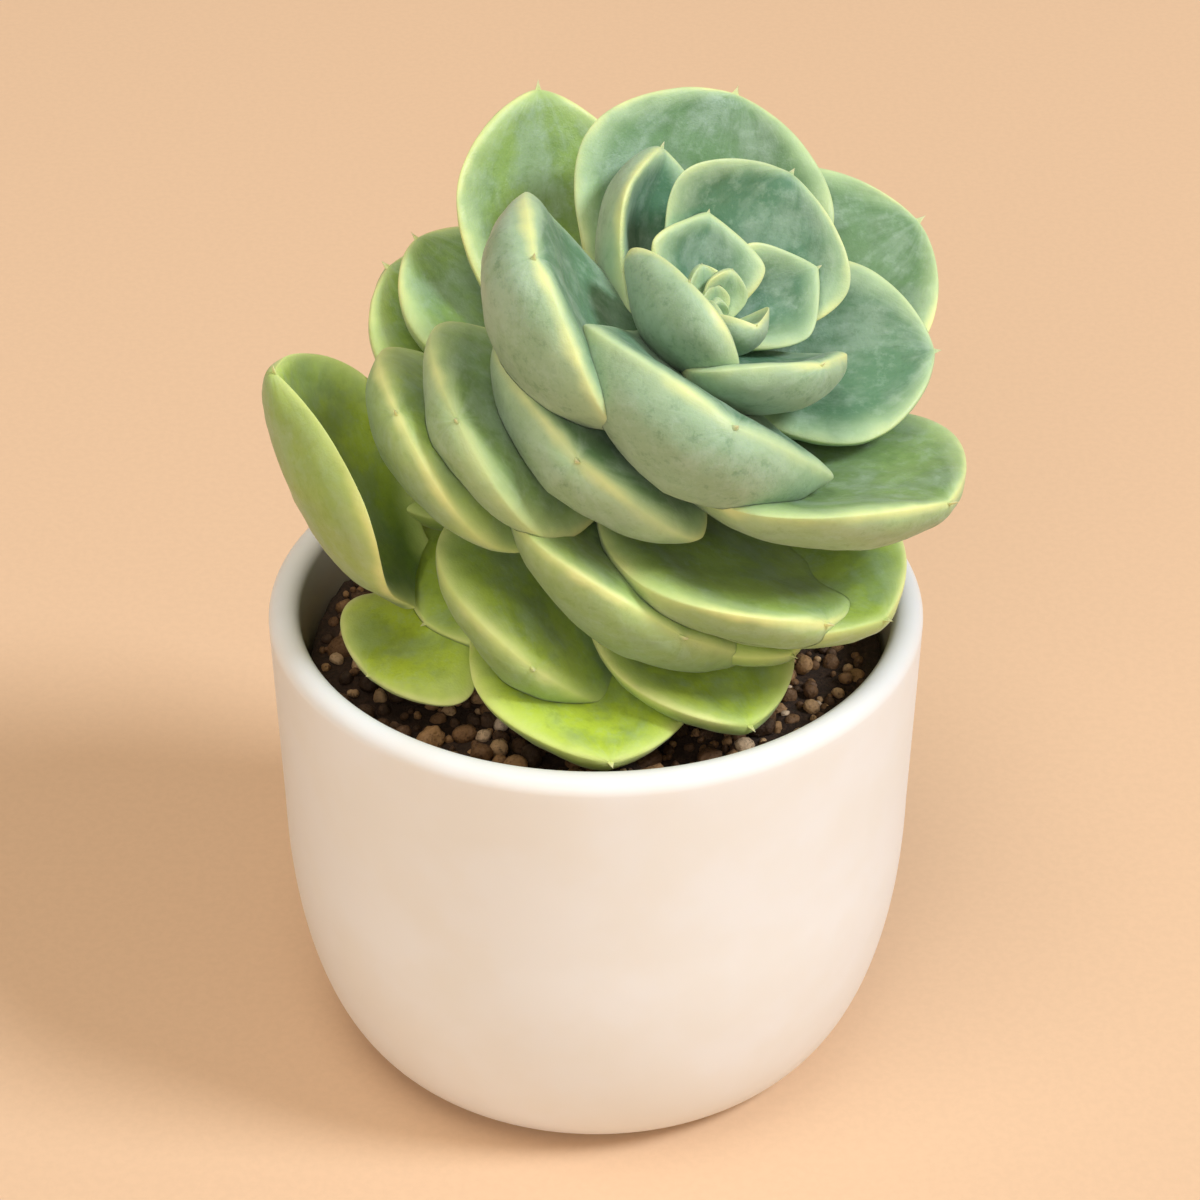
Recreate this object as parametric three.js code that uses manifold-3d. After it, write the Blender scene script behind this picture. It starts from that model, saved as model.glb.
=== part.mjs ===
// A rose-shaped succulent (graptoveria) in a small white pot.
// Millimetres, +Z up. The pot's axis is the Z axis and its base stands on z = 0.
// The rosette leans over a bent stem, so its heart faces the front (-Y) and a little to the right.

import * as THREE from "three";
import { mergeVertices } from "three/addons/utils/BufferGeometryUtils.js";
import Module from "manifold-3d";

// Pot
const POT_HEIGHT = 62;
const RIM_RADIUS = 40;
const WALL_RADIUS = 39.3;
const BASE_RADIUS = 27.5;
const ROUNDING_HEIGHT = 33.8;
const ROUNDING_POWER = 0.97;
const WALL = 3.8;
const FLOOR = 6;
const POT_SIDES = 44;

// Soil
const SOIL_TOP = 54.5;
const SOIL_RINGS = 13;
const GRAIN_HIGH = 1.6;
const GRAIN_LOW = 0.5;

// Stem
const STEM_RADIUS = 4.4;
const STEM_TIP_RADIUS = 1.6;
const STEM_TAPER = 16;
const STEM_SIDES = 10;
const STEM_POINTS = [
  [-1, 6, 30],
  [-1, 6.5, 54],
  [0, 6, 68],
  [3, 3.5, 82],
  [8, -2.5, 94],
  [13.5, -10, 104],
];

// Clearance between one piece and the next
const GAP = 0.4;
const SMOOTHING = 0.12;

// Leaf shape, as shares of the leaf's length and width
const LEAF_WAIST = 0.34;
const LEAF_WIDEST = 0.62;
const LEAF_SHOULDER = 0.97;
const TIP_LENGTH = 0.07;
const LEAF_STATIONS = [0, 0.16, 0.32, 0.47, 0.61, 0.74, 0.85, 0.92, 0.96];
const LEAF_ACROSS = 6;
const BACK_STATIONS = [0, 0.18, 0.38, 0.58, 0.75, 0.88, 0.96];
const BACK_ACROSS = 5;
const HEART_STATIONS = [0, 0.3, 0.6, 0.88];
const THICK_SHARE = 0.24;
const GROWING_POINT_RADIUS = 2;

// Leaves from the heart outwards. drop is how far below the stem's top the leaf grows, along the
// stem; tip is the point where it ends; bow is how far it curls inwards along its length, in
// degrees; cup lifts both margins and fold creases the blade along its middle; sharp and widest
// shape its outline; roll turns the blade about its length and twist winds it, in degrees; shift
// moves the foot.
const HEART_LEAVES = [
  { drop: 0.5, tip: [13.5, -7.5, 108.3], width: 4, thick: 1.8 },
  { drop: 0.5, tip: [14, -9.5, 107.2], width: 3, thick: 1.6 },
  { drop: 1, tip: [15.5, -6.5, 109.5], width: 6, thick: 2.2 },
  { drop: 1, tip: [12, -6, 110], width: 6, thick: 2.2 },
  { drop: 1.5, tip: [14.5, -13.5, 107], width: 6, thick: 2.2 },
];

const FRONT_LEAVES = [
  { drop: 2.5, tip: [18, -16, 107.5], width: 10, thick: 3, bow: 45, cup: 0.6, sharp: 0.1, roll: 14 },
  {
    drop: 3, tip: [13, 1.5, 113], width: 16, thick: 4, bow: 50, cup: 0, fold: 0.45, sharp: 0.85,
    shift: [-1.5, 0, 0],
  },
  { drop: 4, tip: [26, 1, 106], width: 14.5, thick: 4, bow: 55, cup: 0.2, fold: 0.25, sharp: 0.8 },
  { drop: 5, tip: [10.5, -16.5, 113.5], width: 19.5, thick: 5, bow: 73, sharp: 0.1, roll: -46 },
  { drop: 7, tip: [25.5, -17.5, 103.5], width: 24, thick: 5.5, bow: 62, cup: 0.15, sharp: 0, roll: 38 },
  { drop: 7, tip: [23, 8, 115], width: 27, thick: 6, bow: 45, cup: 0.4, roll: -4 },
  {
    drop: 9, tip: [8, 13, 116], width: 20, thick: 6.5, bow: 55, cup: 0.25, fold: 0.35, sharp: 0.65,
    roll: -24, shift: [-5, 0, 0],
  },
  { drop: 9, tip: [15.5, -30.5, 103], width: 36, thick: 10.5, bow: 78, cup: 0.2, dish: 0.1, roll: 12 },
  { drop: 11, tip: [40.5, 0, 95.5], width: 26, bow: 43, cup: 0.3, roll: 3 },
  { drop: 11, tip: [-6.5, -20, 118.5], width: 32, thick: 10, bow: 75, cup: 0.15, dish: 0.1, roll: -17 },
  { drop: 14, tip: [17, 23.5, 118.5], width: 34, thick: 7, bow: 42, cup: 0.3, roll: 8, shift: [-2, 0, 0] },
  { drop: 14, tip: [39.5, 17, 104.5], width: 32, thick: 6.5, bow: 40, cup: 0.3, roll: 10 },
  { drop: 14, tip: [-2, -27, 96.5], width: 33, thick: 9, bow: 67, dish: 0.1, roll: 2 },
  { drop: 20, tip: [40.5, -25, 90], width: 38, thick: 7.5, bow: 46, cup: 0.2, roll: 17 },
  { drop: 20, tip: [-15.5, -23, 99.5], width: 29, thick: 8.5, bow: 65, cup: 0, dish: 0.1, roll: 3 },
  { drop: 24, tip: [-7, 30.5, 116], width: 28, thick: 7, bow: 45, cup: 0.3, sharp: 0.4, shift: [-6, 2, 0] },
  { drop: 22, tip: [-22.5, 21.5, 100], width: 26, thick: 7, bow: 43, cup: 0.2, roll: -2 },
  { drop: 29, tip: [-22.5, -19, 98.5], width: 29, thick: 8.5, bow: 65, cup: 0, dish: 0.1, roll: 6 },
  { drop: 28, tip: [-26, 19.5, 97], width: 28, thick: 7, bow: 42, cup: 0.2, sharp: 0, roll: 10 },
  { drop: 28, tip: [27, -28, 75.5], width: 35, thick: 7.5, bow: 52, dish: 0.1, roll: 15 },
  { drop: 28, tip: [10.5, -28.5, 74], width: 40, thick: 8.5, bow: 80, dish: 0.1, roll: 27 },
  { drop: 33, tip: [34, -25, 74], width: 32, thick: 7, bow: 36, cup: 0.2, roll: -6 },
  { drop: 34, tip: [-7, -27, 68.5], width: 30, thick: 8.5, bow: 73, cup: 0, dish: 0.1, roll: 27 },
  {
    drop: 40, tip: [-36.5, -11.5, 99.8], width: 35, thick: 4, bow: 35, cup: 0.4, dish: 0.1, sharp: 0.5,
    widest: 0.5, shift: [-23, -12, -3], twist: 30,
  },
  { drop: 37, tip: [18.5, -27, 60], width: 26, thick: 6, bow: 38, cup: 0.2 },
  { drop: 40, tip: [2, -33.5, 59.5], width: 28, thick: 6, bow: 40, sharp: 0.35, shift: [-6, 0, 0] },
  { drop: 38, tip: [23.5, -21.5, 66.5], width: 22, bow: 20 },
  { drop: 38, tip: [-21, -11, 64], width: 26, thick: 5, bow: 20 },
  {
    drop: 40, tip: [-27.3, -16.5, 60.5], width: 21, thick: 4, bow: 30, cup: 0, widest: 0.55,
    shift: [-17, -13, -6],
  },
  { drop: 40, tip: [-17, -17.5, 60], width: 20, bow: 20 },
];

// Leaves behind and below, which the others hide from the front, with fewer points to each.
const BACK_LEAVES = [
  { drop: 20, tip: [31, 27, 98], width: 33, bow: 35, cup: 0.2 },
  { drop: 22, tip: [10, 38, 100], width: 34, bow: 35, cup: 0.2 },
  { drop: 24, tip: [38, 16, 82], width: 33, bow: 30, cup: 0.2 },
  { drop: 28, tip: [-16, 34, 88], width: 32, bow: 30, cup: 0.2 },
  { drop: 30, tip: [28, 33, 80], width: 32, bow: 30, cup: 0.2 },
  { drop: 32, tip: [4, 41, 84], width: 32, bow: 30, cup: 0.2 },
  { drop: 36, tip: [-27, 14, 74], width: 29, bow: 30, cup: 0.2 },
  { drop: 36, tip: [-20, 33, 72], width: 30, bow: 25 },
  { drop: 38, tip: [14, 38, 69], width: 30, bow: 25 },
  { drop: 38, tip: [34, 20, 67], width: 30, bow: 25 },
];

const radians = THREE.MathUtils.degToRad;
const clamp = THREE.MathUtils.clamp;
const wasm = await Module();
wasm.setup();

// The stem's centre line, and the point and direction at a length below its top.
const stemCurve = new THREE.CatmullRomCurve3(
  STEM_POINTS.map((p) => new THREE.Vector3(...p)), false, "catmullrom", 0.5);
const stemLength = stemCurve.getLength();

function stemAt(drop) {
  const u = 1 - drop / stemLength;
  return { point: stemCurve.getPointAt(u), along: stemCurve.getTangentAt(u) };
}

// A closed body from rings of points, each ring with as many points, closed by a point at each end.
function bodyFromRings(rings, start, end) {
  const n = rings[0].length;
  const points = [start, ...rings.flat(), end];
  const last = points.length - 1;
  const faces = [];
  for (let j = 0; j < n; j++) {
    const k = (j + 1) % n;
    faces.push([0, 1 + k, 1 + j]);
    faces.push([last, last - n + j, last - n + k]);
    for (let i = 0; i + 1 < rings.length; i++) {
      const a = 1 + i * n;
      const b = a + n;
      faces.push([a + j, a + k, b + k]);
      faces.push([a + j, b + k, b + j]);
    }
  }
  return { points, faces };
}

// The same body grown outwards by a distance, or shrunk by a negative one.
function swell(body, distance) {
  const normals = body.points.map(() => new THREE.Vector3());
  const side = new THREE.Vector3();
  const other = new THREE.Vector3();
  for (const [a, b, c] of body.faces) {
    side.subVectors(body.points[b], body.points[a]);
    other.subVectors(body.points[c], body.points[a]);
    side.cross(other);
    for (const i of [a, b, c]) normals[i].add(side);
  }
  const moved = (p, i) => p.clone().addScaledVector(normals[i].normalize(), distance);
  return { points: body.points.map(moved), faces: body.faces };
}

function toSolid(body) {
  const vertProperties = new Float32Array(body.points.flatMap((p) => [p.x, p.y, p.z]));
  const triVerts = new Uint32Array(body.faces.flat());
  return new wasm.Manifold(new wasm.Mesh({ numProp: 3, vertProperties, triVerts }));
}

function solidFromGeometry(geometry) {
  const bare = geometry.clone();
  bare.deleteAttribute("normal");
  bare.deleteAttribute("uv");
  const merged = mergeVertices(bare, 1e-4);
  return new wasm.Manifold(new wasm.Mesh({
    numProp: 3,
    vertProperties: new Float32Array(merged.attributes.position.array),
    triVerts: new Uint32Array(merged.index.array),
  }));
}

function toGeometry(solid) {
  const mesh = solid.getMesh();
  const geometry = new THREE.BufferGeometry();
  geometry.setAttribute("position", new THREE.BufferAttribute(new Float32Array(mesh.vertProperties), 3));
  geometry.setIndex(new THREE.BufferAttribute(new Uint32Array(mesh.triVerts), 1));
  geometry.computeVertexNormals();
  return geometry;
}

// The biggest whole piece of a solid that a cut may have parted.
function mainPiece(solid) {
  const pieces = solid.decompose();
  return pieces.reduce((best, piece) => (piece.volume() > best.volume() ? piece : best));
}

// Half the leaf's width at a share t of its length, as a share of its greatest half width:
// a narrow foot, a blade and a short point. sharp is 0 for a blade that closes in a round and
// 1 for one that runs straight to its point.
function leafHalfWidth(t, sharp, widest) {
  const grow = LEAF_WAIST + (1 - LEAF_WAIST) * Math.sin(Math.PI / 2 * clamp(t / widest, 0, 1)) ** 1.3;
  const s = clamp((t - widest) / (LEAF_SHOULDER - widest), 0, 1);
  const closing = (1 - sharp) * (1 - s ** 2.1) ** 0.55 + sharp * (1 - s ** 1.8);
  const blade = t < widest ? grow : closing;
  const point = 0.08 * clamp((1 - t) / TIP_LENGTH, 0, 1) ** 1.2 * clamp((t - 0.8) / 0.1, 0, 1);
  return Math.hypot(blade, point);
}

// The leaf's thickness at t, as a share of its greatest thickness.
function leafThickness(t) {
  const s = clamp((t - 0.5) / (LEAF_SHOULDER - 0.5), 0, 1);
  const foot = 0.72 + 0.28 * Math.sin(Math.PI / 2 * clamp(t / 0.45, 0, 1));
  return foot * (1 - s ** 2.6) ** 0.55 + 0.1 * clamp((1 - t) / 0.05, 0, 1);
}

// The midrib: an arc that turns by bow degrees, laid so that it runs from the foot to the tip.
function leafMidrib(length, bow) {
  const steps = 100;
  const line = [{ x: 0, z: 0, angle: 0 }];
  const turn = radians(bow);
  for (let i = 1; i <= steps; i++) {
    const angle = turn * ((i - 0.5) / steps - 0.5);
    const before = line[i - 1];
    line.push({
      x: before.x + Math.cos(angle) * length / steps,
      z: before.z + Math.sin(angle) * length / steps,
      angle,
    });
  }
  const reach = Math.hypot(line[steps].x, line[steps].z);
  const scale = length / reach;
  return (t) => {
    const at = line[Math.round(t * steps)];
    return { x: at.x * scale, z: at.z * scale, angle: turn * (t - 0.5) };
  };
}

// One leaf as a closed body, from its foot on the stem's centre line to its tip.
function leafBody(leaf, across, stations) {
  const { drop, width, bow = 50, cup = 0.1, fold = 0, dish = 0.35 } = leaf;
  const { roll = 0, twist = 0, sharp = 0.2, widest = LEAF_WIDEST, shift = [0, 0, 0] } = leaf;
  const thick = leaf.thick ?? width * THICK_SHARE;
  const { point, along } = stemAt(drop);
  const foot = point.add(new THREE.Vector3(...shift));
  const tip = new THREE.Vector3(...leaf.tip);
  const chord = tip.clone().sub(foot);
  const length = chord.length();
  chord.normalize();

  // The upper face looks along the stem, towards the heart; roll turns it about the leaf.
  const up = along.clone().addScaledVector(chord, -along.dot(chord)).normalize();
  const level = new THREE.Vector3().crossVectors(up, chord);
  const angle = radians(roll);
  const normal = up.clone().multiplyScalar(Math.cos(angle)).addScaledVector(level, Math.sin(angle));
  const side = new THREE.Vector3().crossVectors(normal, chord);

  const midrib = leafMidrib(length, bow);
  const place = (x, y, z) => foot.clone()
    .addScaledVector(chord, x).addScaledVector(side, y).addScaledVector(normal, z);

  const section = (t, s, upper) => {
    const half = width / 2 * leafHalfWidth(t, sharp, widest);
    const deep = thick / 2 * leafThickness(t);
    const lens = (1 - Math.min(1, Math.abs(s)) ** 2.2) ** 0.68;
    const hollow = dish * deep * (1 - s * s) ** 2 * Math.sin(Math.PI * t);
    const keel = 0.15 * deep * (1 - Math.abs(s)) ** 2 * clamp((t - 0.3) / 0.5, 0, 1);
    const face = upper ? 0.8 * deep * lens - hollow : -1.2 * deep * lens - keel;
    const lift = face + half * (cup * s * s + fold * Math.abs(s) ** 1.2);
    const out = s * half * (1 - 0.25 * Math.min(Math.abs(cup) + fold, 1) * s * s);
    const turn = radians(twist) * (t - 0.5);
    const y = out * Math.cos(turn) - lift * Math.sin(turn);
    const n = out * Math.sin(turn) + lift * Math.cos(turn);
    const rib = midrib(t);
    return place(rib.x - n * Math.sin(rib.angle), y, rib.z + n * Math.cos(rib.angle));
  };

  const rings = stations.map((t) => {
    const ring = [];
    for (let i = 0; i < across; i++) {
      ring.push(section(t, Math.cos(Math.PI * i / (across - 1)), true));
    }
    for (let i = across - 2; i > 0; i--) {
      ring.push(section(t, Math.cos(Math.PI * i / (across - 1)), false));
    }
    return ring;
  });
  return bodyFromRings(rings, foot.clone(), tip);
}

// The stem: a round bar along its curve, which thins towards its top.
function stemBody() {
  const steps = 12;
  const rings = [];
  for (let i = 0; i <= steps; i++) {
    const drop = (stemLength - 0.5) * (1 - i / steps) + 0.3;
    const { point, along } = stemAt(drop);
    const front = new THREE.Vector3(0, -1, 0).addScaledVector(along, along.y).normalize();
    const right = new THREE.Vector3().crossVectors(along, front);
    const radius = THREE.MathUtils.lerp(STEM_TIP_RADIUS, STEM_RADIUS, clamp(drop / STEM_TAPER, 0, 1));
    const ring = [];
    for (let j = 0; j < STEM_SIDES; j++) {
      const a = 2 * Math.PI * j / STEM_SIDES;
      const forward = radius * Math.cos(a);
      const sideways = radius * Math.sin(a);
      ring.push(point.clone().addScaledVector(front, forward).addScaledVector(right, sideways));
    }
    rings.push(ring);
  }
  return bodyFromRings(rings, stemAt(stemLength).point, stemAt(0).point);
}

// The ball at the stem's top from which the youngest leaves grow.
function growingPoint(radius) {
  const ball = new THREE.SphereGeometry(radius, 10, 6);
  return solidFromGeometry(ball.translate(...stemAt(0.2).point.toArray()));
}

// The profile of a wall that curves up from a flat base, for the pot's outside and inside.
function roundedWall(base, wall, bottom, height, steps) {
  const profile = [];
  for (let i = 0; i <= steps; i++) {
    const a = Math.PI / 2 * i / steps;
    profile.push(new THREE.Vector2(
      base + (wall - base) * Math.sin(a) ** ROUNDING_POWER,
      bottom + height * (1 - Math.cos(a) ** ROUNDING_POWER)));
  }
  return profile;
}

function lathe(profile, sides) {
  return new THREE.LatheGeometry(profile, sides).rotateX(Math.PI / 2);
}

function potGeometry() {
  const outside = roundedWall(BASE_RADIUS, WALL_RADIUS, 0, ROUNDING_HEIGHT, 6);
  const lip = WALL / 2;
  const rim = [];
  for (let i = 0; i <= 4; i++) {
    const a = Math.PI * i / 4;
    rim.push(new THREE.Vector2(RIM_RADIUS - lip + lip * Math.cos(a), POT_HEIGHT - lip + lip * Math.sin(a)));
  }
  const underside = new THREE.Vector2(0, 0);
  const floor = new THREE.Vector2(0, FLOOR);
  return lathe([underside, ...outside, ...rim, ...insideWall(0), floor], POT_SIDES);
}

// The pot's inside from the top down, drawn in by a clearance.
function insideWall(clearance) {
  const wall = WALL_RADIUS - WALL - clearance;
  const base = BASE_RADIUS - WALL - clearance;
  return roundedWall(base, wall, FLOOR + clearance, ROUNDING_HEIGHT - FLOOR, 2).reverse();
}

// The potting mix: a disc of small lumps. Its points lie on rings, six more on each ring than on
// the one before, and every third point of that lattice is the top of a grain.
function soilBody(random) {
  const radius = WALL_RADIUS - WALL - GAP;
  const points = [new THREE.Vector3(0, 0, SOIL_TOP)];
  const faces = [];
  const first = (ring) => (ring === 0 ? 0 : 1 + 3 * ring * (ring - 1));
  for (let ring = 1; ring <= SOIL_RINGS; ring++) {
    for (let i = 0; i < 6 * ring; i++) {
      const along = i % ring;
      const top = (ring + along) % 3 === 0;
      const edge = ring === SOIL_RINGS;
      const angle = Math.PI / 3 * i / ring + (edge ? 0 : (random() - 0.5) * 0.25 / ring);
      const r = radius * (ring + (edge ? 0 : (random() - 0.5) * 0.3)) / SOIL_RINGS;
      const lump = top ? GRAIN_HIGH * (0.4 + 0.6 * random()) : -GRAIN_LOW * random();
      const height = SOIL_TOP + (edge ? 0 : lump);
      points.push(new THREE.Vector3(r * Math.cos(angle), r * Math.sin(angle), height));
    }
  }
  for (let ring = 1; ring <= SOIL_RINGS; ring++) {
    const outer = first(ring);
    const inner = first(ring - 1);
    const outerCount = 6 * ring;
    const innerCount = Math.max(1, 6 * (ring - 1));
    for (let corner = 0; corner < 6; corner++) {
      for (let k = 0; k < ring; k++) {
        const o = corner * ring + k;
        const i = corner * (ring - 1) + k;
        faces.push([outer + o, outer + (o + 1) % outerCount, inner + i % innerCount]);
        if (k < ring - 1) {
          faces.push([outer + (o + 1) % outerCount, inner + (i + 1) % innerCount, inner + i % innerCount]);
        }
      }
    }
  }
  const count = 6 * SOIL_RINGS;
  let above = first(SOIL_RINGS);
  for (const level of insideWall(GAP)) {
    const below = points.length;
    for (let i = 0; i < count; i++) {
      const a = 2 * Math.PI * i / count;
      points.push(new THREE.Vector3(level.x * Math.cos(a), level.x * Math.sin(a), level.y));
    }
    for (let i = 0; i < count; i++) {
      const j = (i + 1) % count;
      faces.push([above + i, below + i, below + j], [above + i, below + j, above + j]);
    }
    above = below;
  }
  const bottom = points.length;
  points.push(new THREE.Vector3(0, 0, FLOOR + GAP));
  for (let i = 0; i < count; i++) faces.push([bottom, above + (i + 1) % count, above + i]);
  return { points, faces };
}

// A repeatable random number from 0 to 1.
function seededRandom(seed) {
  let state = seed;
  return () => {
    state = (state * 1664525 + 1013904223) % 4294967296;
    return state / 4294967296;
  };
}

// Leaf colours run from bluish green at the heart to yellowish green at the foot of the plant.
function leafMaterial(share) {
  const heart = new THREE.Color(0x9dbfaa);
  const foot = new THREE.Color(0x93ab52);
  return new THREE.MeshStandardMaterial({ color: heart.lerp(foot, share), roughness: 0.55, metalness: 0 });
}

const group = new THREE.Group();

function addPiece(name, geometry, material) {
  const mesh = new THREE.Mesh(geometry, material);
  mesh.name = name;
  group.add(mesh);
}

const stem = stemBody();
const wideStem = toSolid(swell(stem, GAP));

const heartBodies = HEART_LEAVES.map((leaf) =>
  leafBody({ bow: 50, cup: 0.5, ...leaf }, BACK_ACROSS, HEART_STATIONS));
let heart = growingPoint(GROWING_POINT_RADIUS);
let wideHeart = growingPoint(GROWING_POINT_RADIUS + GAP);
for (const body of heartBodies) {
  heart = heart.add(toSolid(body));
  wideHeart = wideHeart.add(toSolid(swell(body, GAP)));
}

addPiece("pot", potGeometry(),
  new THREE.MeshStandardMaterial({ color: 0xf3efe8, roughness: 0.35, metalness: 0 }));
addPiece("soil", toGeometry(toSolid(soilBody(seededRandom(7))).subtract(wideStem)),
  new THREE.MeshStandardMaterial({ color: 0x4a3024, roughness: 0.95, metalness: 0 }));
addPiece("stem", toGeometry(toSolid(stem)),
  new THREE.MeshStandardMaterial({ color: 0x8a9a55, roughness: 0.7, metalness: 0 }));
addPiece("heart", toGeometry(mainPiece(heart.subtract(wideStem))), leafMaterial(0));

const placed = [];
const leaves = [
  ...FRONT_LEAVES.map((leaf) => ({ leaf, body: leafBody(leaf, LEAF_ACROSS, LEAF_STATIONS) })),
  ...BACK_LEAVES.map((leaf) => ({ leaf, body: leafBody(leaf, BACK_ACROSS, BACK_STATIONS) })),
];
leaves.forEach(({ leaf, body }, index) => {
  let solid = toSolid(body).subtract(wideStem).subtract(wideHeart);
  for (const inner of placed) solid = solid.subtract(inner);
  solid = mainPiece(solid.simplify(SMOOTHING));
  placed.push(toSolid(swell(body, GAP)));
  const name = "leaf_" + String(index + 1).padStart(2, "0");
  addPiece(name, toGeometry(solid), leafMaterial(clamp((leaf.drop - 5) / 33, 0, 1)));
});

export default group;
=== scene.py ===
"""Looks of a rose-shaped succulent in a small white pot.

Everything is placed in the part's own frame: the pot's axis is Z, its base stands on z = 0 and the
front, which the rosette faces, is -Y. Sizes below are millimetres and are turned into metres where
a mesh is made.
"""

import math
import random

import bmesh
import bpy
import numpy as np
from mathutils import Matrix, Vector, noise
from mathutils.kdtree import KDTree


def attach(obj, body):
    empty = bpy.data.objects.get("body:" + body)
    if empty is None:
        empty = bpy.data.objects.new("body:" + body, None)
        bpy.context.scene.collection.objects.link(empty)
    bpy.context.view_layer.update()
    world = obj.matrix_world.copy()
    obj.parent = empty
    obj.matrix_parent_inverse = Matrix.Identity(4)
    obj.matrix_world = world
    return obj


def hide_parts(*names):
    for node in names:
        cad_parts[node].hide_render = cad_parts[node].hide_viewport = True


MM = 0.001

# Camera
CAMERA_ELEVATION = 33.2
CAMERA_DISTANCE = 400
CAMERA_TARGET = (0.5, 0, 60.6)
SENSOR = 36
LENS = 97.9

# Pot
POT_HEIGHT = 62
RIM_RADIUS = 40
WALL_RADIUS = 39.3
BASE_RADIUS = 27.5
ROUNDING_HEIGHT = 33.8
ROUNDING_POWER = 0.97
WALL = 3.8
FLOOR = 6
POT_SIDES = 160
CENTRE_RING = 2
POT_CREASE = 50

# Soil. Its surface lies about SOIL_DIP below SOIL_TOP, with swells and lumps of these sizes.
SOIL_TOP = 54.3
SOIL_RADIUS = 35.1
SOIL_RINGS = 60
SOIL_SIDES = 180
SOIL_DEPTH = 12
SOIL_DIP = 0.9
SWELL_HEIGHT = 0.7
SWELL_SIZE = 9
LUMP_HEIGHT = 0.5
LUMP_SIZE = 2.2

# Grains. Each row of GRAIN_COUNTS is a number of tries and the smallest and biggest radius. Grains
# above FINE_GRAIN get more faces, and no grain is put close to one above CROWDING_GRAIN.
GRAIN_RADIUS_REACH = 34.6
GRAIN_COUNTS = ((90, 1.7, 2.4), (420, 1.0, 1.6), (1500, 0.45, 0.9))
GRAIN_TOP = 57.0
GRAIN_KINDS = 14
GRAIN_FACETS = 9
GRAIN_SPACING = 0.62
FINE_GRAIN = 1.6
CROWDING_GRAIN = 0.95
GRAIN_SEED = 11

# Stem
STEM_POINTS = ((-1, 6, 30), (-1, 6.5, 54), (0, 6, 68), (3, 3.5, 82), (8, -2.5, 94), (13.5, -10, 104))
STEM_RADIUS = 4.4
STEM_TIP_RADIUS = 1.6
STEM_TAPER = 16
STEM_SIDES = 40
STEM_RINGS = 120
STEM_STEPS = 80
SCAR_HEIGHT = 0.25

# Leaf shape, as shares of the leaf's length, width and thickness
LEAF_WAIST = 0.34
LEAF_WIDEST = 0.62
LEAF_SHOULDER = 0.97
TIP_LENGTH = 0.07
TIP_WIDTH = 0.08
THICK_SHARE = 0.24
UPPER_SHARE = 0.8
UNDER_SHARE = 1.2
KEEL_SHARE = 0.15

# Leaf meshes. A leaf narrower than NARROW_LEAF has half the points around it.
LEAF_AROUND = 72
NARROW_LEAF = 12
FEWEST_STATIONS = 12
BASE_STATIONS = 18
MIDRIB_STEPS = 200
LEAF_CREASE = 40

# Soft dents and fine pits of the skin. They are weaker on leaves narrower than DENTED_WIDTH and
# within CALM_MARGIN of the margin.
DENT_HEIGHT = 0.55
DENT_SIZE = 8
PIT_HEIGHT = 0.14
PIT_SIZE = 2.6
DENTED_WIDTH = 20
CALM_MARGIN = 2.5

# Gap between a leaf and what it is cut against
TOUCH = 0.06

# Leaves from the heart outwards. drop is how far below the stem's top the leaf grows, along the
# stem; tip is the point where it ends; bow is how far it curls inwards along its length, in
# degrees; cup lifts both margins, fold creases the blade along its middle and dish hollows its
# upper face; sharp and widest shape its outline; roll turns the blade about its length and twist
# winds it, in degrees; shift moves the foot. HEART_USUAL is what the heart's leaves share.
HEART_USUAL = dict(bow=50, cup=0.5)
HEART_SEED = 60
HEART_FINENESS = 0.8
HEART_LEAVES = [
    dict(drop=0.5, tip=(13.5, -7.5, 108.3), width=4, thick=1.8),
    dict(drop=0.5, tip=(14, -9.5, 107.2), width=3, thick=1.6),
    dict(drop=1, tip=(15.5, -6.5, 109.5), width=6, thick=2.2),
    dict(drop=1, tip=(12, -6, 110), width=6, thick=2.2),
    dict(drop=1.5, tip=(14.5, -13.5, 107), width=6, thick=2.2),
]

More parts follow.
